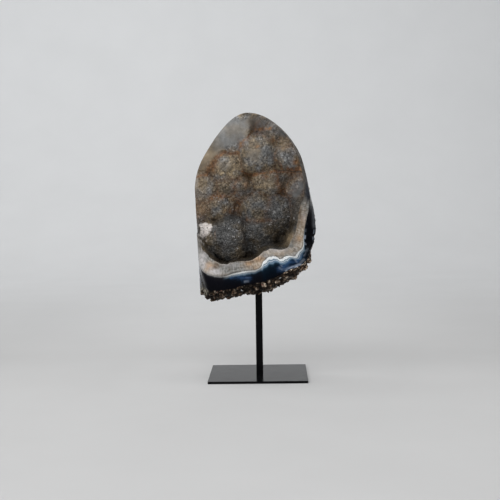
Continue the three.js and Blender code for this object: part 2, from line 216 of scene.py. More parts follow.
# White crystals; the small mark at (38, 163) is a painted glint.
WHITE = [
    (-46.8, 156.5, 2.2, 2.8, 1.2), (-54, 157, 4.5, 2, 1), (-50, 153, 3.4, 2.8, 1.3),
    (-51.5, 148.5, 2.6, 3.4, 1), (-55, 153.5, 2.6, 2.6, 0.8), (-56, 146, 3, 4, 0.4), (38, 163, 1.3, 2, 0.6),
    (-55, 138, 3.5, 6, 0.3), (-55, 149, 3, 3, 0.35), (-47, 145, 2, 3, 0.35), (-52, 141, 4, 3, 0.25),
]
# Painted glints: places where a few crystals are painted pale.
GLINTS = [
    (-25, 142, 14, 16, 1), (40, 234, 5, 5, 0.8), (20, 166, 16, 14, 0.5), (-35, 178, 14, 12, 0.5),
    (-52, 155, 8, 12, 1),
]
# Painted light and shade, with some tone: marks that lighten lit lump tops and darken shaded crevices,
# hollows and edges; below 0 is darker.
PAINTED_LIGHT_SHADE_AND_TONE = [
    (-45, 217, 5, 6, -0.2), (-3, 256, 4, 8, -0.35), (31, 250, 6, 6, -0.75), (37, 242, 4, 5, -0.45),
    (21, 207, 4, 3, -0.2), (15, 238, 5, 4, -0.15), (-8, 222, 7, 6, 0.12), (34, 231, 7, 6, 0.12),
    (5, 213, 12, 3, -0.2), (-5, 200, 6, 4, -0.25), (6, 197, 6, 4, 0.25), (-10, 190, 4, 7, -0.3),
    (-22, 205, 7, 3, 0.12), (-45, 188, 5, 5, -0.12), (-30, 178, 5, 6, -0.1), (26, 181, 9, 6, -0.35),
    (34, 172, 5, 8, -0.3), (0, 172, 7, 6, 0.12), (41, 184, 7, 5, 0.65), (36, 200, 5, 5, -0.3),
    (30.5, 190, 3, 6, -0.45), (50, 197, 3.5, 7, -0.5), (-17, 150, 4, 6, 0.2), (8, 148, 9, 5, -0.12),
    (-46, 131, 6, 6, 0.5), (-52, 139, 5, 6, 0.8), (22, 139.5, 7, 4.5, -0.6), (22, 150, 7, 4, 0.2),
    (-34, 129, 8, 4, 0.3), (-15, 129, 9, 5, 1.2), (12, 262, 7, 4, 0.2), (28, 203, 6, 6, -0.15),
    (-27, 162, 11, 4, -0.3), (12, 264, 8, 4, 0.25), (-30, 240, 6, 5, 0.06), (52, 206, 3, 6, -0.3),
    (-34, 208, 5, 5, -0.1), (-50, 172, 4, 5, -0.15),
]
HUE = [
    (-8, 218, 7, 7, 0.5), (-27, 216, 9, 8, -0.25), (-47, 203, 5, 7, 0.5), (-54, 190, 6, 8, 0.3),
    (12, 262, 9, 6, -0.5), (31, 249, 6, 6, -0.5), (14, 230, 6, 6, -0.3), (-20, 264, 9, 5, -0.4),
    (41, 189, 9, 9, -0.6),
]
GROUND = [
    (-28, 252, 17, 15, 1.5), (-46, 234, 10, 9, 1.2), (-53, 222, 8, 14, 0.8), (41, 186.5, 8, 7, 0.7),
    (48, 197, 6, 7, 0.7), (29, 248, 6, 9, 0.6), (-60, 196, 3, 16, 0.7), (40, 236, 4, 10, 0.5),
    (0, 228, 15, 13, 0.64), (-28, 217, 11, 9, 0.56), (14, 253, 16, 10, 0.5), (-2, 262, 12, 7, 0.5),
]
CREAM = [(-47, 115, 7, 6, 1), (0, 119, 12, 6, 0.9), (22, 130, 16, 5, 0.9), (46, 150, 8, 22, 1.1)]
PEACH = [
    (-49, 116.5, 3, 3.5, 1.1), (-44.5, 116, 3, 2, 1.1), (-8, 118.5, 4, 2.5, 1), (2, 123, 6, 3.5, 1),
    (47, 161, 2.5, 4, 0.7), (43, 143, 3, 3, 0.8), (-1, 114, 4, 2, 0.5),
]
# Brown marks on the cut; those at (44, 169) and (40, 158) are painted shade where the cut meets the shaded
# inner wall.
BROWN = [
    (23.6, 128.5, 4, 2.5, 0.35), (45, 157, 2.5, 5, 0.4), (-42, 115, 3, 2, 1.1), (-38, 118, 5, 1.8, 0.9),
    (44, 169, 2, 9, 0.9), (40, 158, 3, 12, 0.6), (39, 140, 3, 4, 0.5), (-12, 121, 9, 1.2, 0.7),
]
FROST = [
    (-42, 110.5, 6, 3, 1.25), (-27, 117, 8, 2.3, 0.45), (8.5, 126.5, 3, 2, 0.45), (-47, 115, 4, 3, 0.35),
    (48, 163, 2, 5, 0.4), (-55, 122, 4, 10, 1), (22, 132, 10, 3, 0.5), (-52, 131, 4, 5, 0.5),
]
SLATE = [(53.5, 189, 3.5, 9, 1.5), (53, 203, 2.5, 8, 0.7), (-40, 105.4, 10, 1, 0.6)]
WEATHERED = [(-58, 139, 5, 7, 0.75), (-53, 131, 4, 3, 0.5)]

# Lines: x and z of one end, x and z of the other, half width, strength.
RUST_LINES = [
    (-17, 229, -33, 229.2, 1.3, 1.4), (-33, 229.2, -38, 225.5, 1.6, 1.2), (-38, 225.5, -44, 217, 2.5, 1.1),
    (-44, 217, -50, 208, 2.8, 0.9), (-50, 206, -60, 205.3, 1.2, 1.2), (-16, 239, -3, 251.5, 1.3, 0.9),
    (1, 253.5, 15, 253, 1.6, 0.9), (33, 212, 46, 211.5, 2.5, 2.4), (18, 210, 34, 211, 1.5, 1),
    (-14, 211, -2, 206.5, 1.3, 1.2), (-2, 206.5, 17, 209, 1.5, 1.1), (22, 222, 27, 213, 1.2, 0.7),
]
# Painted shade: dark lines in the seams between lumps and along the lip's edge, where shade falls.
PAINTED_SEAM_SHADE = [
    (-12, 214, -14, 232, 1, 0.8), (-14, 232, -17, 229, 1, 0.8), (20, 236, 24, 216, 1.1, 0.9),
    (24, 212, 46, 209.5, 1.2, 1.3), (-4, 251, -1, 262, 3, 0.9), (-13, 212, -3, 206, 1.1, 1),
    (23, 207, 28, 190, 2.2, 0.9), (27, 190, 32, 184.5, 1.6, 0.9), (32, 184, 46, 183, 1, 0.6),
    (-14, 160, -12, 136, 1.6, 1), (-41, 122.8, -31, 118.9, 2.3, 1.1), (-31, 118.9, -16, 122.2, 2.3, 1),
    (-16, 122.2, -3, 124.8, 1.8, 0.9), (-40, 160, -41, 140, 1.2, 0.7), (-17, 229, -33, 228, 0.7, 1),
    (42, 176, 36, 155, 2.5, 0.8), (38, 172, 34, 150, 2.6, 0.85),
]
SKY_BLUE = [
    (26, 114, 33, 119.3, 1.6, 0.75), (33, 119.3, 41, 120, 1.6, 0.9), (-26, 104.2, -17, 105, 1, 0.6),
    (-19, 104.5, -7, 104, 1.8, 0.65), (41, 120, 46, 126, 1.5, 0.7), (12, 121, 20, 122, 1.3, 0.5),
    (26, 117, 21.5, 112, 1.8, 0.5), (24, 112, 44, 116, 2, 0.7), (-15, 100.8, -7, 101.6, 0.9, 0.4),
]
LAVENDER = [
    (25, 111.5, 31, 113, 0.7, 0.5), (32, 113.5, 37, 114.8, 0.9, 0.8), (39, 115.3, 43, 117, 0.9, 0.9),
    (43, 117, 48, 121.5, 0.9, 0.7), (-13, 100.8, -8, 101.6, 0.45, 0.5), (25, 116, 22, 112.5, 0.7, 0.35),
    (29, 110.6, 30.5, 111.2, 0.6, 1.6), (39, 113.9, 41, 114.4, 0.7, 1.6), (44, 115.6, 45, 116.2, 0.5, 1.4),
    (38.5, 122, 40, 119, 0.7, 0.5), (48, 125, 50, 131, 0.7, 0.5), (49.3, 152, 49.1, 149.5, 0.5, 1.2),
    (48.9, 145.5, 48.6, 142.5, 0.5, 1.2), (48.6, 138.5, 49.5, 136.5, 0.5, 1),
    (51.5, 132.5, 50.7, 130, 0.5, 0.8), (57.5, 143, 57.8, 139, 0.5, 0.5),
    (58.7, 150.5, 58.6, 147, 0.5, 0.5), (50.5, 158, 50.2, 156.5, 0.4, 0.7),
    (-11, 104.6, -7, 105.2, 0.5, 0.3), (-12.5, 100.3, -8.5, 101, 0.7, 0.35),
]


def smoothstep(x, low, high):
    t = np.clip((x - low) / (high - low), 0, 1)
    return t * t * (3 - 2 * t)


def mix(a, b, share):
    return a + (b - a) * share


# ------------------ seeded noise

def hashed(cells, seed):
    """A number from 0 to 1 for each whole-number cell (rows of three)."""
    c = cells.astype(np.int64)
    h = (c[:, 0] * 73856093) ^ (c[:, 1] * 19349663) ^ (c[:, 2] * 83492791) ^ (seed * 2654435761)
    h = (h ^ (h >> 13)) * 1274126177 & 0xFFFFFFFF
    h = (h ^ (h >> 16)) * 2246822519 & 0xFFFFFFFF
    h = h ^ (h >> 15)
    return (h & 0xFFFFFF) / float(0x1000000)


def value_noise(points, size, seed):
    """Smooth noise from -1 to 1 with features of the given size."""
    p = points / size
    base = np.floor(p)
    t = p - base
    t = t * t * (3 - 2 * t)
    total = np.zeros(len(p))
    for corner in range(8):
        step = np.array([corner & 1, corner >> 1 & 1, corner >> 2 & 1])
        weight = np.prod(np.where(step == 1, t, 1 - t), axis=1)
        total += weight * hashed(base + step, seed)
    return 2 * total - 1


def fractal(points, size, seed, octaves=3):
    total = np.zeros(len(points))
    for octave in range(octaves):
        total += value_noise(points, size / 2 ** octave, seed + octave) / 2 ** octave
    return total


def grains(points, size, seed):
    """The nearest of some scattered seeds: its distance, the second's, the way to it, its cell."""
    p = points / size
    base = np.floor(p)
    near = np.full(len(p), 9.0)
    second = np.full(len(p), 9.0)
    way = np.zeros_like(p)
    owner = np.zeros_like(p)
    for neighbour in itertools.product((-1, 0, 1), repeat=3):
        cell = base + neighbour
        step = cell + np.stack([hashed(cell, seed + k) for k in range(3)], axis=1) - p
        off = np.linalg.norm(step, axis=1)
        nearer = off < near
        second = np.where(nearer, near, np.minimum(second, off))
        way[nearer] = step[nearer]
        owner[nearer] = cell[nearer]
        near = np.where(nearer, off, near)
    return near, second, way, owner


def crystals(points, size, seed):
    """Heights of crystals whose flat faces lean every way, and one number for each crystal."""
    near, _, way, owner = grains(points, size, seed)
    lean = np.stack([hashed(owner, seed + k) for k in (4, 5, 6)], axis=1) - 0.5
    height = 0.4 * (0.6 - near) + CRYSTAL_LEAN * (way * lean).sum(axis=1)
    return size * height, hashed(owner, seed + 7)


def lines(points, places):
    """The strength of some soft-edged lines at each point."""
    total = np.zeros(len(points))
    for x0, z0, x1, z1, width, strength in places:
        way = np.array([x1 - x0, z1 - z0])
        off = points[:, [0, 2]] - (x0, z0)
        part = np.clip(off @ way / (way @ way), 0, 1)
        away = np.linalg.norm(off - part[:, None] * way, axis=1) / width
        total = np.maximum(total, strength * np.exp(-away ** 2))
    return total


def spots(points, places):
    """The strength of some soft-edged marks at each point."""
    total = np.zeros(len(points))
    for x, z, half_width, half_height, strength in places:
        off = ((points[:, 0] - x) / half_width) ** 2 + ((points[:, 2] - z) / half_height) ** 2
        total += strength * np.exp(-off)
    return total


# ------------------ rim and surfaces, as in the CAD

def hermite(p0, p1, p2, p3, t):
    """Centripetal Catmull-Rom between p1 and p2."""
    d0 = np.maximum(np.linalg.norm(p1 - p0, axis=-1, keepdims=True) ** 0.5, 1e-4)
    d1 = np.maximum(np.linalg.norm(p2 - p1, axis=-1, keepdims=True) ** 0.5, 1e-4)
    d2 = np.maximum(np.linalg.norm(p3 - p2, axis=-1, keepdims=True) ** 0.5, 1e-4)
    m1 = ((p1 - p0) / d0 - (p2 - p0) / (d0 + d1) + (p2 - p1) / d1) * d1
    m2 = ((p2 - p1) / d1 - (p3 - p1) / (d1 + d2) + (p3 - p2) / d2) * d1
    c2 = -3 * p1 + 3 * p2 - 2 * m1 - m2
    c3 = 2 * p1 - 2 * p2 + m1 + m2
    return p1 + m1 * t + c2 * t ** 2 + c3 * t ** 3


ROW_STEPS = np.linalg.norm(np.roll(RIM[:, 1], -1, axis=0) - RIM[:, 1], axis=1)
ROW_TURNS = np.concatenate([[0], np.cumsum(ROW_STEPS)]) / ROW_STEPS.sum()


def rim_at(turns):
    """Points on the three rim curves at each turn, and how much the rim faces the front there."""
    rows = np.clip(np.searchsorted(ROW_TURNS, turns, side="right") - 1, 0, len(RIM) - 1)
    part = ((turns - ROW_TURNS[rows]) / (ROW_TURNS[rows + 1] - ROW_TURNS[rows]))[:, None]
    curves = []
    for column in range(3):
        controls = [RIM[(rows + k) % len(RIM), column] for k in (-1, 0, 1, 2)]
        curves.append(hermite(*controls, part))
    edge, line, rock = curves
    low = smoothstep(line[:, 2], 145, 135)
    for x, half_width, rise in LINE_MOVES:
        line[:, 2] += rise * low * np.exp(-((line[:, 0] - x) / half_width) ** 2)
    across = np.hypot(rock[:, 0] - edge[:, 0], rock[:, 2] - edge[:, 2])
    tilt = np.arctan2(across, rock[:, 1] - edge[:, 1]) / (math.pi / 2)
    return edge, line, rock, smoothstep(tilt, 0.15, 0.75)


def bowl(rim, reach, front, floor, tucked=0.0):
    """A bowl whose wall falls from the rim points to a level floor, steeper where it is tucked."""
    radius = np.hypot(rim[:, 0] - HOLLOW_CENTRE[0], rim[:, 2] - HOLLOW_CENTRE[1])
    wall = mix(WALL_AT_SIDES, WALL_AT_FRONT, front) * (1 - tucked)
    depth = smoothstep((1 - reach) * radius, 0, wall)
    return np.stack([
        mix(HOLLOW_CENTRE[0], rim[:, 0], reach),
        mix(rim[:, 1], floor, depth),
        mix(HOLLOW_CENTRE[1], rim[:, 2], reach),
    ], axis=1)


def cap_heights(places):
    """The Y of every lump's ball over the places, one row a lump; no ball there gives 99."""
    rows = []
    for x, z, radius, top in LUMPS:
        off = np.hypot(places[:, 0] - x, places[:, 2] - z)
        drop = np.sqrt(np.maximum(radius ** 2 - off ** 2, 0))
        rows.append(np.where(off < radius, radius - top - drop, 99))
    return np.array(rows)


def with_lumps(points, places):
    """The points raised by the lumps over the places, the valleys' depth, and lumps' shares."""
    caps = cap_heights(places)
    y = points[:, 1].copy()
    for cap in caps:
        overlap = np.maximum(VALLEY_FILLET - np.abs(y - cap), 0) / VALLEY_FILLET
        y = np.minimum(y, cap) - overlap ** 2 * VALLEY_FILLET / 4
    heights = np.concatenate([caps, points[None, :, 1]])
    ranked = np.sort(heights, axis=0)
    shares = np.exp(-(heights - ranked[0]) / SHARE_SOFTNESS)
    shares /= shares.sum(axis=0)
    raised = np.stack([points[:, 0], y, points[:, 2]], axis=1)
    return raised, ranked[1] - ranked[0], shares


def crust_back(turns, reach):
    _, line, _, front = rim_at(turns)
    return bowl(line, reach, front, HOLLOW_FLOOR + CRUST_THICKNESS)


def hidden_rings(order):
    """The rings of the crust's back, which both stones share."""
    return [crust_back(ring_turns(6 * k), k / (HIDDEN_RINGS + 1)) for k in order]


def underside(rock):
    """0 beside and above the middle of the back, 1 below it; and the way out from it."""
    out = rock - BACK_CENTRE
    out[:, 1] = 0
    length = np.linalg.norm(out, axis=1, keepdims=True)
    return smoothstep(-out[:, 2] / length[:, 0], *UNDERSIDE_SLOPE), out, out / length


def back_profile(turns, reach):
    """Points on the profile from the rock edge to the middle of the back, at one reach."""
    _, _, rock, front = rim_at(turns)
    under, out, unit = underside(rock)

    def at(xz, y):
        return np.stack([xz[:, 0], np.broadcast_to(y, len(xz)), xz[:, 2]], axis=1)

    def blend(pair):
        return mix(*pair, under)[:, None]

    controls = [
        rock,
        at(rock + unit * blend(BEHIND_RIM_OUT), rock[:, 1] + mix(*BEHIND_RIM_BACK, front)),
        at(rock + unit * blend(BELLY_OUT), mix(rock[:, 1] + BELLY_BACK, BELLY_Y, front)),
        at(BACK_CENTRE + out * blend(SHOULDER_SHARE), mix(*SHOULDER_Y, under)),
        at(BACK_CENTRE + out * CROWN_SHARE, CROWN_Y),
        np.broadcast_to(BACK_CENTRE, rock.shape),
    ]
    controls = [2 * controls[0] - controls[1], *controls, 2 * controls[-1] - controls[-2]]
    samples = []
    for span in range(len(controls) - 3):
        for k in range(PROFILE_STEPS):
            samples.append(hermite(*controls[span:span + 4], k / PROFILE_STEPS))
    samples.append(controls[-2])
    line_points = np.stack(samples, axis=1)
    lengths = np.linalg.norm(np.diff(line_points, axis=1), axis=2)
    along = np.concatenate([np.zeros((len(turns), 1)), np.cumsum(lengths, axis=1)], axis=1)
    want = along[:, -1] * (1 - reach)
    index = np.clip((along < want[:, None]).sum(axis=1) - 1, 0, lengths.shape[1] - 1)
    who = np.arange(len(turns))
    part = (want - along[who, index]) / lengths[who, index]
    return mix(line_points[who, index], line_points[who, index + 1], part[:, None])


def random_stream(seed):
    state = seed
    while True:
        state = (state * 1664525 + 1013904223) % 4294967296
        yield state / 4294967296


def nodule_list():
    golden = (math.sqrt(5) - 1) / 2
    random = random_stream(7)
    nodules = [(np.array([x, y, z], dtype=float), radius) for x, y, z, radius in KNOBS]
    for i in range(NODULES):
        reach = math.sqrt((i + 0.5) / NODULES)
        centre = back_profile(np.array([(i * golden) % 1]), reach)[0]
        nodules.append((centre, NODULE_RADIUS * (0.8 + 0.7 * next(random))))
    return nodules


def nodule_swell(points):
    swell = np.zeros(len(points))
    for centre, radius in nodule_list():
        off = np.linalg.norm(points - centre, axis=1) / radius
        rise = np.where(off < 1, (1 - off ** 2) * radius / NODULE_RADIUS, 0)
        swell = np.maximum(swell, rise)
    return swell


# ------------------ meshes from rings

def ring_turns(count):
    return np.arange(max(count, 1)) / max(count, 1)


def way_along(loop):
    """How far along a closed loop each of its points is, in metres."""
    steps = np.linalg.norm(np.diff(loop, axis=0, append=loop[:1]), axis=1)
    return np.concatenate([[0], np.cumsum(steps)[:-1]]) * MM


def disc_lattice(rings):
    """Ring sizes, and each point's turn and reach, for a disc of rings of 6k points."""
    counts = [max(6 * k, 1) for k in range(rings + 1)]
    turns = np.concatenate([ring_turns(count) for count in counts])
    reach = np.repeat(np.arange(rings + 1) / rings, counts)
    return counts, turns, reach


def join_rings(counts):
    """Triangles between each ring and the next, for rings of the given numbers of points."""
    starts = np.concatenate([[0], np.cumsum(counts)])
    triangles = []
    for n in range(len(counts) - 1):
        a, b = counts[n], counts[n + 1]
        base_a, base_b = int(starts[n]), int(starts[n + 1])
        i = j = 0
        while (a > 1 and i < a) or (b > 1 and j < b):
            lead = (j + 1) * a - (i + 1) * b
            turn_of_a = b == 1 or j == b or lead > 0 or (lead == 0 and a <= b)
            if a > 1 and i < a and turn_of_a:
                triangles.append((base_a + i, base_a + (i + 1) % a, base_b + j % b))
                i += 1
            else:
                triangles.append((base_a + i % a, base_b + (j + 1) % b, base_b + j))
                j += 1
    return np.array(triangles)


def vertex_normals(points, triangles):
    a, b, c = (points[triangles[:, k]] for k in range(3))
    face = np.cross(b - a, c - a)
    normals = np.zeros_like(points)
    for k in range(3):
        for axis in range(3):
            normals[:, axis] += np.bincount(triangles[:, k], face[:, axis], len(points))
    return normals / np.maximum(np.linalg.norm(normals, axis=1, keepdims=True), 1e-12)


def make_piece(name, points, triangles, materials, face_material, smooth, values):
    mesh = bpy.data.meshes.new(name)
    mesh.from_pydata((points * MM).tolist(), [], triangles.tolist())
    for material in materials:
        mesh.materials.append(material)
    mesh.polygons.foreach_set("material_index", face_material.astype(np.int32))
    mesh.polygons.foreach_set("use_smooth", smooth.astype(bool))
    for key, (first, data) in values.items():
        filled = np.zeros(len(points), dtype=np.float32)
        filled[first:first + len(data)] = data
        mesh.attributes.new(key, "FLOAT", "POINT").data.foreach_set("value", filled)
    mesh.update()
    piece = bpy.data.objects.new(name, mesh)
    bpy.context.scene.collection.objects.link(piece)
    return piece


# ------------------ shader helpers

class Tree:
    """Short calls for the nodes of one material."""

    def __init__(self, name, colour):
        self.material = bpy.data.materials.new(name)
        self.material.use_nodes = True
        self.material.diffuse_color = (*colour, 1)
        self.nodes = self.material.node_tree.nodes
        self.links = self.material.node_tree.links
        self.shader = self.nodes["Principled BSDF"]

    def node(self, kind, inputs, **settings):
        made = self.nodes.new(kind)
        for key, value in settings.items():
            setattr(made, key, value)
        for key, value in inputs.items():
            self.fill(made.inputs[key], value)
        return made

    def fill(self, socket, value):
        if isinstance(value, bpy.types.NodeSocket):
            self.links.new(value, socket)
        elif isinstance(value, tuple) and len(value) == 3 and len(socket.default_value) == 4:
            socket.default_value = (*value, 1)
        else:
            socket.default_value = value

    def attribute(self, name):
        return self.node("ShaderNodeAttribute", {}, attribute_name=name).outputs["Fac"]

    def maths(self, operation, a, b=0.0, clamp=False):
        made = self.node("ShaderNodeMath", {0: a, 1: b}, operation=operation, use_clamp=clamp)
        return made.outputs[0]

    def times(self, a, b, clamp=False):
        return self.maths("MULTIPLY", a, b, clamp)

    def mark(self, name, texture):
        """The strength of a named mark, broken up by a texture."""
        return self.times(self.attribute(name), texture, clamp=True)

    def plus(self, a, b, clamp=False):
        return self.maths("ADD", a, b, clamp)

    def span(self, value, low, high, to_low=0.0, to_high=1.0):
        inputs = {0: value, 1: low, 2: high, 3: to_low, 4: to_high}
        return self.node("ShaderNodeMapRange", inputs).outputs[0]

    def blend(self, factor, a, b, mode="MIX"):
        inputs = {0: factor, 6: a, 7: b}
        return self.node("ShaderNodeMix", inputs, data_type="RGBA", blend_type=mode).outputs[2]

    def between(self, factor, a, b):
        return self.node("ShaderNodeMix", {0: factor, 2: a, 3: b}).outputs[0]

    def ramp(self, factor, stops):
        made = self.node("ShaderNodeValToRGB", {"Fac": factor})
        points = made.color_ramp.elements
        while len(points) < len(stops):
            points.new(1)
        for point, (position, colour) in zip(points, stops):
            point.position = position
            point.color = (*colour, 1)
        return made.outputs["Color"]

    def place(self):
        return self.node("ShaderNodeTexCoord", {}).outputs["Object"]

    def vector(self, x, y, z=0.0):
        return self.node("ShaderNodeCombineXYZ", {0: x, 1: y, 2: z}).outputs[0]

    def noise(self, size, detail=3.0, where=None, roughness=0.55):
        inputs = {"Vector": where or self.place(), "Scale": 1 / size, "Detail": detail}
        inputs["Roughness"] = roughness
        return self.node("ShaderNodeTexNoise", inputs).outputs["Fac"]

    def cells(self, size, output="Distance"):
        inputs = {"Vector": self.place(), "Scale": 1 / size}
        return self.node("ShaderNodeTexVoronoi", inputs).outputs[output]

    def bump(self, height, strength, distance, normal=None):
        inputs = {"Height": height, "Strength": strength, "Distance": distance}
        if normal is not None:
            inputs["Normal"] = normal
        return self.node("ShaderNodeBump", inputs).outputs["Normal"]

    def finish(self, **inputs):
        for key, value in inputs.items():
            self.fill(self.shader.inputs[key.replace("_", " ")], value)
        return self.material


def grey(value):
    return (value, value, value)


# ------------------ materials

def quartz_crystals():
    """Grey-brown drusy quartz, iron-stained in the valleys; painted shade in valleys and seams, painted
    light and shade, and painted glints.
    """
    t = Tree("quartz_crystals", (0.2, 0.18, 0.15))
    ground = t.attribute("ground")
    crystal = t.attribute("crystal")
    speck = t.attribute("speck")
    patches = t.noise(0.009, 5)
    hue_drift = t.span(t.noise(0.013, 2), 0.35, 0.65, -0.65, 0.75)
    hue_drift = t.times(hue_drift, t.span(ground, 0, 1, 1, 0.25))
    warm = t.plus(t.attribute("warm"), hue_drift)
    tint = t.blend(warm, (1.0, 1.0, 0.985), (1.15, 0.89, 0.57))
    grained = t.times(t.span(crystal, 0, 1, 0.68, 1.32), t.span(speck, 0, 1, 0.4, 1.6))
    clouded = t.span(t.noise(0.004, 8, roughness=0.75), 0.3, 0.7, 0.76, 1.24)
    value = t.times(t.between(ground, grained, clouded), t.attribute("tone"))
    uneven = t.between(ground, t.span(patches, 0.3, 0.7, 0.6, 1.4), t.span(patches, 0.3, 0.7, 0.8, 1.2))
    value = t.times(value, t.times(uneven, t.attribute("shade")))
    colour = t.blend(1.0, t.vector(value, value, value), tint, "MULTIPLY")
    rust = t.ramp(t.noise(0.004, 3), [
        (0.3, (0.06, 0.022, 0.008)), (0.5, (0.18, 0.075, 0.024)), (0.7, (0.34, 0.18, 0.07))])
    rusty = t.mark("rust", t.span(t.noise(0.0028, 4), 0.33, 0.58, 0.35, 1.1))
    colour = t.blend(t.times(rusty, 0.9), colour, rust)
    tan = t.mark("tan", t.span(t.noise(0.006, 4), 0.35, 0.6, 0.4, 1.0))
    colour = t.blend(tan, colour, (0.28, 0.21, 0.125))
    # Painted shade: near-black in the valleys and seams between the lumps.
    colour = t.blend(t.mark("painted_valley_shade", 0.62), colour, (0.02, 0.013, 0.007))
    chunky = t.span(t.cells(0.0018, "Color"), 0.1, 0.5, 0.5, 1.0)
    colour = t.blend(t.mark("white", chunky), colour, (0.86, 0.80, 0.76))
    # Painted glints: a few crystals painted pale where the glint marks are.
    painted_crystal_glint = t.times(t.span(speck, 0.93, 0.96), t.mark("glints", 0.75))
    colour = t.blend(painted_crystal_glint, colour, (0.50, 0.49, 0.52))
    rough = t.between(ground, t.span(speck, 0, 1, 0.6, 0.2), t.span(t.noise(0.003), 0.3, 0.7, 0.32, 0.5))
    fine = t.bump(t.cells(0.0007), 0.3, 0.0003)
    return t.finish(Base_Color=colour, Roughness=rough, IOR=1.5, Normal=fine)


def quartz_cut():
    """The crust where it is sawn: cream, peach and grey quartz in fine columns, polished."""
    t = Tree("quartz_cut", (0.4, 0.34, 0.28))
    along = t.attribute("along")
    across = t.attribute("across")
    columns = t.noise(0.0016, 4, t.vector(along, t.times(across, 0.3)))
    layers = t.noise(0.0024, 3, t.vector(t.times(along, 0.2), across))
    grain = t.plus(t.times(columns, 0.55), t.times(layers, 0.45))
    patchy = t.span(t.noise(0.005, 4), 0.35, 0.65, -0.3, 0.3)
    smoke = t.ramp(grain, [
        (0.34, (0.07, 0.067, 0.06)), (0.5, (0.21, 0.205, 0.19)), (0.66, (0.5, 0.49, 0.47))])
    cream = t.ramp(grain, [
        (0.34, (0.19, 0.138, 0.092)), (0.5, (0.445, 0.365, 0.287)), (0.66, (0.76, 0.69, 0.6))])
    peach = t.ramp(grain, [
        (0.3, (0.17, 0.085, 0.035)), (0.5, (0.45, 0.27, 0.14)), (0.7, (0.72, 0.52, 0.36))])
    colour = t.blend(t.plus(t.attribute("cream"), patchy, clamp=True), smoke, cream)
    colour = t.blend(t.mark("peach", t.span(grain, 0.3, 0.6, 0.4, 1.0)), colour, peach)
    brown = t.mark("brown", t.span(t.noise(0.004, 4), 0.35, 0.6, 0.4, 1.2))
    colour = t.blend(brown, colour, (0.12, 0.075, 0.04))
    frost = t.mark("frost", t.span(t.noise(0.003, 3), 0.4, 0.6, 0.5, 1.1))
    colour = t.blend(frost, colour, (0.66, 0.63, 0.63))
    old = t.ramp(t.noise(0.003, 5), [
        (0.35, (0.05, 0.04, 0.03)), (0.5, (0.11, 0.095, 0.08)), (0.65, (0.22, 0.2, 0.175))])
    colour = t.blend(t.attribute("weathered"), colour, old)
    slate = t.ramp(columns, [(0.35, (0.007, 0.008, 0.012)), (0.65, (0.045, 0.05, 0.065))])
    colour = t.blend(t.attribute("slate"), colour, slate)
    rough = t.between(t.attribute("weathered"), t.span(t.noise(0.002), 0.3, 0.7, 0.2, 0.42), 0.6)
    return t.finish(Base_Color=colour, Roughness=rough, IOR=1.4, Normal=t.bump(grain, 0.25, 0.0002))


def agate_bands():
    """White line, blue, then near-black chalcedony, polished."""
    t = Tree("agate_bands", (0.03, 0.05, 0.08))
    along = t.attribute("along")
    depth = t.attribute("depth")
    wobble = t.span(t.noise(0.004, 4, t.vector(along, t.times(depth, 0.3))), 0.3, 0.7, -0.0006, 0.0006)
    swell = t.span(t.noise(0.011, 2, t.vector(along, 0.0)), 0.3, 0.7, 0.8, 1.25)
    packed = t.times(t.attribute("packed"), swell)
    layer = t.times(t.plus(t.times(depth, packed), wobble), 1 / BAND_DEPTH)
    bright = t.ramp(layer, [
        (0, (0.13, 0.125, 0.12)), (0.025, (0.7, 0.72, 0.72)), (0.07, (0.92, 0.94, 0.94)),
        (0.125, (0.86, 0.91, 0.93)), (0.145, (0.16, 0.23, 0.29)), (0.165, (0.14, 0.21, 0.27)),
        (0.19, (0.72, 0.8, 0.87)), (0.22, (0.14, 0.21, 0.29)), (0.255, (0.21, 0.31, 0.41)),
        (0.29, (0.08, 0.135, 0.195)), (0.33, (0.012, 0.03, 0.05)), (0.42, (0.004, 0.01, 0.019)),
        (0.65, (0.002, 0.005, 0.01)), (1, (0.003, 0.003, 0.005))])
    dark = t.ramp(layer, [
        (0, (0.3, 0.295, 0.29)), (0.05, (0.1, 0.1, 0.1)), (0.09, (0.03, 0.03, 0.033)),
        (0.16, (0.009, 0.009, 0.012)), (0.45, (0.005, 0.005, 0.008)), (1, (0.004, 0.004, 0.006))])
    colour = t.blend(t.attribute("bright"), dark, bright)
    streak = t.span(t.noise(0.0022, 4, t.vector(t.times(along, 0.3), depth)), 0.35, 0.65, 0.25, 1.1)
    colour = t.blend(t.mark("sky_blue", streak), colour, (0.045, 0.105, 0.24))
    colour = t.blend(t.mark("lavender", streak), colour, (0.44, 0.50, 0.60))
    # Painted reflection at the agate's edges.
    colour = t.blend(t.attribute("haze"), colour, PAINTED_REFLECTION_COLOUR)
    rough = t.span(t.noise(0.004), 0.3, 0.7, 0.1, 0.2)
    polish = t.bump(t.noise(0.007), 0.06, 0.0005)
    return t.finish(Base_Color=colour, Roughness=rough, IOR=1.09, Normal=polish)


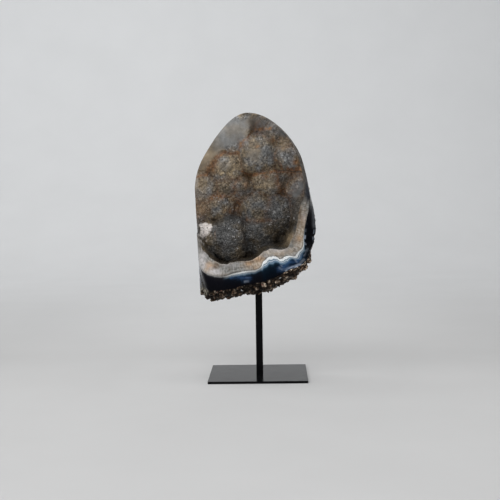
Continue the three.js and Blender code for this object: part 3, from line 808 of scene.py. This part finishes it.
def rough_rock():
    """The brown knobbly rock behind and below the agate, with painted shade in its gaps, painted light on
    knob tops and painted glints.
    """
    t = Tree("rough_rock", (0.1, 0.07, 0.05))
    knob = t.attribute("knob")
    patch = t.span(t.noise(0.006, 4), 0.33, 0.67, -0.15, 0.85)
    pebble = t.ramp(t.plus(patch, t.times(t.attribute("pebble"), 0.3)), [
        (0, (0.012, 0.009, 0.006)), (0.18, (0.022, 0.015, 0.01)), (0.28, (0.06, 0.036, 0.022)),
        (0.55, (0.092, 0.062, 0.044)), (0.64, (0.16, 0.125, 0.094)), (0.82, (0.28, 0.24, 0.19)),
        (0.88, (0.085, 0.04, 0.027)), (1, (0.15, 0.08, 0.06))])
    # Painted light: higher knob tops are lighter; the noise mottles them.
    mottled = t.times(t.span(t.noise(0.0017, 5), 0.39, 0.61, 0.0, 2.6), t.span(knob, 0.2, 0.9, 0.25, 1.25))
    mottled = t.times(mottled, t.attribute("shade"))
    colour = t.blend(1.0, pebble, t.vector(mottled, mottled, mottled), "MULTIPLY")
    # Painted shade: darkest in the low places between the knobs.
    gap_shade = t.span(t.attribute("relief"), -0.35, 0.55, 1.0, 0.0)
    colour = t.blend(t.times(gap_shade, 0.85), colour, (0.003, 0.002, 0.0015))
    spotty = t.span(t.noise(0.0022, 5), 0.38, 0.62)
    face = t.ramp(t.noise(0.003, 5), [
        (0.38, (0.01, 0.007, 0.004)), (0.47, (0.075, 0.07, 0.052)), (0.6, (0.27, 0.24, 0.19))])
    corner_face = t.blend(spotty, (0.004, 0.005, 0.007), (0.03, 0.032, 0.038))
    # Painted reflection on the sawn corner.
    corner_face = t.blend(t.attribute("haze"), corner_face, PAINTED_REFLECTION_COLOUR)
    face = t.blend(t.attribute("corner"), face, corner_face)
    colour = t.blend(t.attribute("sawn"), colour, face)
    # Painted glints: a few rock grains painted pale.
    painted_rock_glint = t.span(t.cells(0.0022, "Color"), 0.93, 0.94)
    colour = t.blend(t.times(painted_rock_glint, 0.85), colour, grey(0.75))
    rough = t.span(t.cells(0.0018, "Color"), 0, 1, 0.25, 0.8)
    grit = t.bump(t.noise(0.0012, 4), 0.5, 0.0005)
    pores = t.bump(t.cells(0.0009), 0.4, 0.0003, grit)
    return t.finish(Base_Color=colour, Roughness=rough, IOR=1.22, Normal=pores)


def gloss_black_steel():
    """Gloss black enamel: a faint orange peel, dust and rubbed patches."""
    t = Tree("gloss_black_steel", (0.012, 0.012, 0.013))
    dust = t.span(t.noise(0.0009, 5), 0.62, 0.8)
    base = t.blend(t.noise(0.03), (0.002, 0.002, 0.0025), (0.0045, 0.0045, 0.005))
    facing = t.node("ShaderNodeNewGeometry", {}).outputs["Normal"]
    upward = t.span(t.node("ShaderNodeSeparateXYZ", {"Vector": facing}).outputs["Z"], 0.3, 0.9)
    colour = t.blend(t.times(t.times(dust, 0.07), upward), base, grey(0.06))
    rough = t.span(t.noise(0.012, 4), 0.3, 0.7, 0.1, 0.18)
    peel = t.bump(t.noise(0.0016), 0.04, 0.0002)
    return t.finish(Base_Color=colour, Roughness=rough, IOR=1.14, Normal=peel)


# ------------------ the druse crust

def druse_piece():
    counts, turns, reach = disc_lattice(DRUSE_RINGS)
    rim_count = counts[-1]
    edge, _, _, front = rim_at(turns)
    tucked = LIP_TUCK * smoothstep(edge[:, 0], -48, -37) * smoothstep(edge[:, 0], 8, -4) * front
    base = bowl(edge, reach, front, HOLLOW_FLOOR, tucked)
    lip = smoothstep(reach, 0.92, 1.0) * smoothstep(base[:, 2], 168, 150)
    dip = LIP_DROP * smoothstep(base[:, 0], -52, -38)
    dip += LIP_DIP * np.exp(-((base[:, 0] - LIP_DIP_X) / LIP_DIP_HALF_WIDTH) ** 2)
    base[:, 0] += lip * LIP_WANDER * fractal(base, 4.5, 101, 2)
    base[:, 2] += lip * (LIP_WANDER * fractal(base, 4.5, 105, 2) - dip)
    wander = np.stack([fractal(base, 9, seed, 2) for seed in (71, 72, 73)], axis=1)
    points, gap, shares = with_lumps(base, base + 1.5 * wander)
    tone, warm = (shares.T @ LUMP_LOOKS).T
    warm += spots(base, HUE)
    # Painted shade: the bare wall is darker low in the hollow and lighter higher up at the left.
    tone += shares[-1] * 0.07 * smoothstep(base[:, 2], 150, 190) * smoothstep(base[:, 0], 20, 0)
    ground = smoothstep(spots(points + 2 * wander, GROUND), 0.35, 0.75)
    sheltered = smoothstep(reach, 0.975, 1.0) * front
    marked = points + 1.5 * wander
    # Painted shade in the valleys between lumps and along the seams, less on worn lumps and at the lip.
    painted_valley_shade = np.exp(-gap / 2.2) * (0.6 + 0.4 * fractal(base, 5, 81, 2)) * (1 - sheltered)
    painted_valley_shade = np.maximum(painted_valley_shade * (1 - 0.7 * ground), lines(marked, PAINTED_SEAM_SHADE))
    smooth_top = 1 - 0.4 * smoothstep(points[:, 2], 205, 225)
    relief = 1.2 * fractal(points, 10, 11) + 0.5 * fractal(points, 4, 21)
    points[:, 1] -= relief * (1 - 0.85 * ground) * (1 - sheltered)

    cut_turns = ring_turns(rim_count)
    _, cut_line, _, _ = rim_at(cut_turns)
    edge_row = points[-rim_count:]
    share = (np.arange(1, CUT_ROWS + 1) / CUT_ROWS)[:, None, None]
    cut = mix(edge_row[None], cut_line[None], share).reshape(-1, 3)
    hidden = hidden_rings(range(HIDDEN_RINGS, -1, -1))
    all_points = np.concatenate([points, cut, *hidden])
    triangles = join_rings(counts + [rim_count] * CUT_ROWS + [len(ring) for ring in hidden])

    normals = vertex_normals(all_points, triangles)[:len(points)]
    coarse, crystal = crystals(points, CRYSTAL_SIZES[0], 31)
    fine, speck = crystals(points, CRYSTAL_SIZES[1], 51)
    height = (0.45 * coarse + 0.6 * fine) * smooth_top * (1 - 0.95 * ground)
    height *= 1 - smoothstep(reach, 0.985, 1)
    all_points[:len(points)] = points + normals * height[:, None]

    along = way_along(cut_line)
    width = np.linalg.norm(cut_line - edge_row, axis=1) * MM
    rim_start = len(points) - rim_count
    rim_points = all_points[rim_start:rim_start + rim_count * (CUT_ROWS + 1)]
    rusty_valley = np.exp(-gap / 3.0) * smoothstep(points[:, 2], 150, 190) * (1 - ground)
    rusty_valley *= 1 - smoothstep(points[:, 2], 256, 264)
    marked_rust = np.maximum(spots(marked, RUST), lines(marked, RUST_LINES))
    old = smoothstep(rim_points[:, 2], 172, 192)
    white = smoothstep(spots(marked, WHITE) + 0.3 * fractal(points, 3, 91, 2), 0.25, 0.95)
    of_hollow = {
        "tone": tone, "warm": warm, "crystal": crystal, "speck": speck, "ground": ground,
        # The painted light and shade marks, with some tone.
        "shade": np.clip(1 + spots(marked, PAINTED_LIGHT_SHADE_AND_TONE), 0.3, 3),
        # The painted shade in the valleys and seams.
        "painted_valley_shade": painted_valley_shade,
        "rust": marked_rust + 0.6 * rusty_valley,
        "tan": spots(marked, TAN),
        "white": white,
        "glints": spots(points, GLINTS),
    }
    of_cut_edge = {
        "along": np.tile(along, CUT_ROWS + 1),
        "weathered": np.minimum(old + spots(rim_points, WEATHERED), 1),
        "slate": np.minimum(spots(rim_points, SLATE), 1),
    }
    for key, marks in (("cream", CREAM), ("peach", PEACH), ("brown", BROWN), ("frost", FROST)):
        of_cut_edge[key] = spots(rim_points, marks)
    values = {key: (0, data) for key, data in of_hollow.items()}
    values.update({key: (rim_start, data) for key, data in of_cut_edge.items()})
    values["across"] = (len(points), (share[:, :, 0] * width[None]).reshape(-1))
    is_cut = triangles.max(axis=1) >= len(points)
    first_corner = np.minimum(triangles[:, 0], len(points) - 1)
    smooth = is_cut | (ground[first_corner] > 0.5)
    materials = [quartz_crystals(), quartz_cut()]
    return make_piece("quartz_crust", all_points, triangles, materials, is_cut, smooth, values)


# ------------------ the agate and its rock

def edge_chips(points):
    """Small chips along the sharp edge of the agate at the right, as moves along X."""
    beside = smoothstep(points[:, 0], 40, 48)
    between = smoothstep(points[:, 2], 112, 122) * smoothstep(points[:, 2], 174, 160)
    return EDGE_CHIPS * fractal(points, 3.5, 95, 2) * beside * between


def agate_piece():
    rings = range(ROCK_RINGS, -1, -1)
    rock_counts = [max(6 * k, 1) for k in rings]
    rim_count = rock_counts[0]
    _, line, rock, _ = rim_at(ring_turns(rim_count))
    hidden = hidden_rings(range(HIDDEN_RINGS + 1))
    share = (np.arange(AGATE_ROWS + 1) / AGATE_ROWS)[:, None, None]
    face = mix(line[None], rock[None], share)
    face[:, :, 0] += share[:, :, 0] ** 2 * edge_chips(rock)
    face = face.reshape(-1, 3)

    body_turns = np.concatenate([ring_turns(6 * k) for k in rings])
    reach = np.repeat(np.array(list(rings)) / ROCK_RINGS, rock_counts)
    base = np.concatenate([back_profile(ring_turns(6 * k), k / ROCK_RINGS) for k in rings])
    under, _, _ = underside(rim_at(body_turns)[2])
    outward = (base - BACK_CENTRE * (1, 0, 1)) / BACK_SPAN ** 2
    outward /= np.linalg.norm(outward, axis=1, keepdims=True)
    warped = base + 1.6 * np.stack([fractal(base, 5, seed, 2) for seed in (61, 64, 67)], axis=1)
    near, second, _, owner = grains(warped, ROCK_GRAIN_SIZES[0], 31)
    knob_height = 0.6 + 0.8 * hashed(owner, 35)
    domes = (1 - near ** 2) * np.minimum((second - near) * 3.5, 1)
    knobs = domes * knob_height - 0.35
    small_near, small_second, _, _ = grains(base, ROCK_GRAIN_SIZES[1], 41)
    small = (1 - small_near ** 2) * np.minimum((small_second - small_near) * 4, 1) - 0.4
    from_rim = smoothstep(1 - reach, 0, RIM_FADE)
    fine_from_rim = smoothstep(1 - reach, 0, mix(0.12, 0.015, under))
    swell = (nodule_swell(base) - 0.5) * NODULE_HEIGHT * from_rim
    lone = np.zeros(len(base))
    for grain_x, grain_z, radius, height in LONE_GRAINS:
        off = (base[:, 0] - grain_x) ** 2 + (base[:, 2] - grain_z) ** 2
        lone += height * np.exp(-off / radius ** 2)
    move = swell + (KNOB_HEIGHT * knobs + small + lone) * fine_from_rim
    body = base + outward * move[:, None]
    body[:, 0] += edge_chips(base) * smoothstep(1 - reach, 0.05, 0)
    saw = SAW_FACE_X + (SAW_FACE_TOP - body[:, 2]) * SAW_FACE_SLOPE
    sawn = body[:, 0] < saw
    body[:, 0] = np.maximum(body[:, 0], saw)
    way = SAWN_CORNER_WAY / np.linalg.norm(SAWN_CORNER_WAY)
    beyond = np.maximum((body - SAWN_CORNER) @ way, 0)
    sawn |= beyond > 0
    body -= beyond[:, None] * way

    all_points = np.concatenate([*hidden, face, body[rim_count:]])
    counts = [len(ring) for ring in hidden] + [rim_count] * (AGATE_ROWS + 1) + rock_counts[1:]
    triangles = join_rings(counts)
    face_start = sum(len(ring) for ring in hidden)
    rock_start = face_start + rim_count * AGATE_ROWS
    along = way_along(line)
    width = np.linalg.norm(rock - line, axis=1) * MM
    x, _, z = line.T

    def near_x(middle, half_width):
        return np.exp(-((x - middle) / half_width) ** 2)

    # The bands are bright along the lip, faint at its left, and packed closer up the right side.
    faint = 0.38 + 0.3 * near_x(-15, 8)
    bright = smoothstep(z, 154, 136) * smoothstep(x, -35, -27) * mix(faint, 1, smoothstep(x, 3.5, 6))
    packed = mix(1.35, 0.68, smoothstep(x, 2, 6)) + 0.3 * near_x(31.5, 2)
    packed -= 0.5 * near_x(-14, 5) + 0.1 * near_x(37, 3)
    packed += (3 * smoothstep(z, 132, 143) + 7 * smoothstep(z, 160, 176)) * smoothstep(x, 0, 20)
    relief = knobs + 0.5 * small + 0.15 * swell
    surface = all_points[face_start:]
    # Painted reflection: pale at the lower left corner and along the right edge of the black side.
    left_reflection = smoothstep(surface[:, 0], -54.5, -61) * smoothstep(surface[:, 2], 124, 118)
    right_reflection = 0.3 * smoothstep(surface[:, 0], 55.8, 58)
    right_reflection *= smoothstep(surface[:, 2], 150, 155) * smoothstep(surface[:, 2], 184, 172)
    values = {
        "depth": (face_start, (share[:, :, 0] * width[None]).reshape(-1)),
        "along": (face_start, np.tile(along, AGATE_ROWS + 1)),
        "bright": (face_start, np.tile(bright, AGATE_ROWS + 1)),
        "packed": (face_start, np.tile(packed, AGATE_ROWS + 1)),
        "sky_blue": (face_start, lines(face, SKY_BLUE)),
        "lavender": (face_start, lines(face, LAVENDER)),
        "haze": (face_start, np.maximum(left_reflection, right_reflection)),
        "relief": (rock_start, relief),
        "knob": (rock_start, domes),
        "shade": (rock_start, 0.72 + 0.95 * smoothstep(body[:, 0], -15, 40)),
        "pebble": (rock_start, hashed(owner, 36)),
        "sawn": (rock_start, sawn * 1.0),
        "corner": (rock_start, (beyond > 0) * smoothstep(body[:, 2], 90, 98)),
    }
    is_rock = triangles.min(axis=1) >= rock_start
    smooth = np.ones(len(triangles))
    materials = [agate_bands(), rough_rock()]
    return make_piece("agate_and_rock", all_points, triangles, materials, is_rock, smooth, values)


# ------------------ pieces and stand

druse = druse_piece()
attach(druse, "root")
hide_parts("druse_crust")

agate = agate_piece()
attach(agate, "root")
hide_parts("agate_chunk")

steel = gloss_black_steel()
for name in ("stand_post", "stand_base"):
    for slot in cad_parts[name].material_slots:
        slot.material = steel


# ------------------ stage and lights

SWEEP_NEAR = -2.6
SWEEP_FAR = 1.1
SWEEP_BEND = 0.9
SWEEP_TOP = 3.2
SWEEP_HALF_WIDTH = 4.5
SWEEP_STEPS = 24


def pale_paper():
    """Seamless paper with painted light and shade: greyer in a soft band behind the stand, darker there
    towards the sides, lighter up the wall and just around the stand.
    """
    t = Tree("pale_paper", (0.8, 0.8, 0.8))
    apart = t.node("ShaderNodeSeparateXYZ", {"Vector": t.place()})
    # Painted light and shade: the paper is greyest just behind the stand and grows lighter up the wall.
    back = t.span(apart.outputs["Y"], -0.5, 2.0)
    colour = t.ramp(back, [
        (0, grey(0.53)), (0.25, grey(0.5)), (0.58, (0.6, 0.605, 0.61)), (1, (0.7, 0.71, 0.72))])
    beside = t.maths("ABSOLUTE", apart.outputs["X"])
    # Painted shade: a band across the floor behind the stand, darker towards the sides.
    band_behind = t.times(t.span(apart.outputs["Y"], -0.1, 0.15), t.span(apart.outputs["Y"], 1.1, 0.6))
    side_shade = t.span(beside, 0.12, 0.32, 0, 0.085)
    mottled = t.span(t.noise(0.12, 4), 0.3, 0.7, 0.985, 1.015)
    shade = t.times(mottled, t.maths("SUBTRACT", 1.0, t.times(band_behind, side_shade)))
    # Painted light: the paper is lifted just around the stand, against its shadow.
    behind = t.maths("ABSOLUTE", t.plus(apart.outputs["Y"], -0.02))
    painted_bounce_light = t.times(t.span(beside, 0.07, 0.15, 0.1, 0), t.span(behind, 0.05, 0.12, 1, 0))
    shade = t.times(shade, t.plus(1.0, painted_bounce_light))
    colour = t.blend(1.0, colour, t.vector(shade, shade, shade), "MULTIPLY")
    return t.finish(Base_Color=colour, Roughness=0.9, Specular_IOR_Level=0.1)


def studio_sweep():
    """One pale sheet: level floor, a wide bend, an upright wall."""
    profile = [(SWEEP_NEAR, 0.0), (SWEEP_FAR, 0.0)]
    for step in range(1, SWEEP_STEPS + 1):
        angle = step / SWEEP_STEPS * math.pi / 2
        profile.append((SWEEP_FAR + SWEEP_BEND * math.sin(angle), SWEEP_BEND * (1 - math.cos(angle))))
    profile.append((SWEEP_FAR + SWEEP_BEND, SWEEP_TOP))
    vertices = [(x, y, z) for y, z in profile for x in (-SWEEP_HALF_WIDTH, SWEEP_HALF_WIDTH)]
    faces = [(2 * i, 2 * i + 1, 2 * i + 3, 2 * i + 2) for i in range(len(profile) - 1)]
    mesh = bpy.data.meshes.new("studio_sweep")
    mesh.from_pydata(vertices, [], faces)
    mesh.polygons.foreach_set("use_smooth", [True] * len(faces))
    mesh.materials.append(pale_paper())
    sweep = bpy.data.objects.new("studio_sweep", mesh)
    bpy.context.scene.collection.objects.link(sweep)


def area_light(name, place, target, size, power):
    data = bpy.data.lights.new(name, "AREA")
    data.shape = "RECTANGLE"
    data.size, data.size_y = size
    data.energy = power
    light = bpy.data.objects.new(name, data)
    light.location = place
    light.rotation_euler = (Vector(target) - Vector(place)).to_track_quat("-Z", "Y").to_euler()
    bpy.context.scene.collection.objects.link(light)


studio_sweep()
CHUNK_MIDDLE = sum(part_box("agate_chunk"), Vector()) / 2
area_light("overhead", (0.0, -0.35, 1.7), (0, -0.1, 0), (2.3, 1.9), 21)
area_light("key_left", (-0.9, -1.4, 1.2), CHUNK_MIDDLE, (3.0, 2.0), 28)
area_light("wall_light", (-0.65, 0.7, 2.3), (-0.25, 2.0, 0.5), (2.6, 0.9), 24)

world = bpy.data.worlds.new("studio_air")
world.use_nodes = True
world.node_tree.nodes["Background"].inputs["Color"].default_value = (0.97, 0.99, 1.0, 1)
world.node_tree.nodes["Background"].inputs["Strength"].default_value = 0.12
bpy.context.scene.world = world
bpy.context.scene.view_settings.view_transform = "Standard"

# ------------------ camera

CAMERA_PLACE = Vector((0.0177, -1.1494, 0.2036))
CAMERA_DOWN = math.radians(3.66)
CAMERA_TURN = math.radians(-1.24)
CAMERA_ROLL = math.radians(0.79)
CAMERA_LENS = 80.51


def make_camera():
    forward = Vector((
        math.sin(CAMERA_TURN) * math.cos(CAMERA_DOWN),
        math.cos(CAMERA_TURN) * math.cos(CAMERA_DOWN),
        -math.sin(CAMERA_DOWN),
    ))
    level_right = Vector((math.cos(CAMERA_TURN), -math.sin(CAMERA_TURN), 0))
    level_up = level_right.cross(forward)
    right = level_right * math.cos(CAMERA_ROLL) - level_up * math.sin(CAMERA_ROLL)
    up = level_right * math.sin(CAMERA_ROLL) + level_up * math.cos(CAMERA_ROLL)
    data = bpy.data.cameras.new("camera")
    data.sensor_width = 36
    data.lens = CAMERA_LENS
    camera = bpy.data.objects.new("camera", data)
    axes = Matrix((right, up, -forward)).transposed()
    camera.matrix_world = Matrix.Translation(CAMERA_PLACE) @ axes.to_4x4()
    bpy.context.scene.collection.objects.link(camera)
    bpy.context.scene.camera = camera


make_camera()
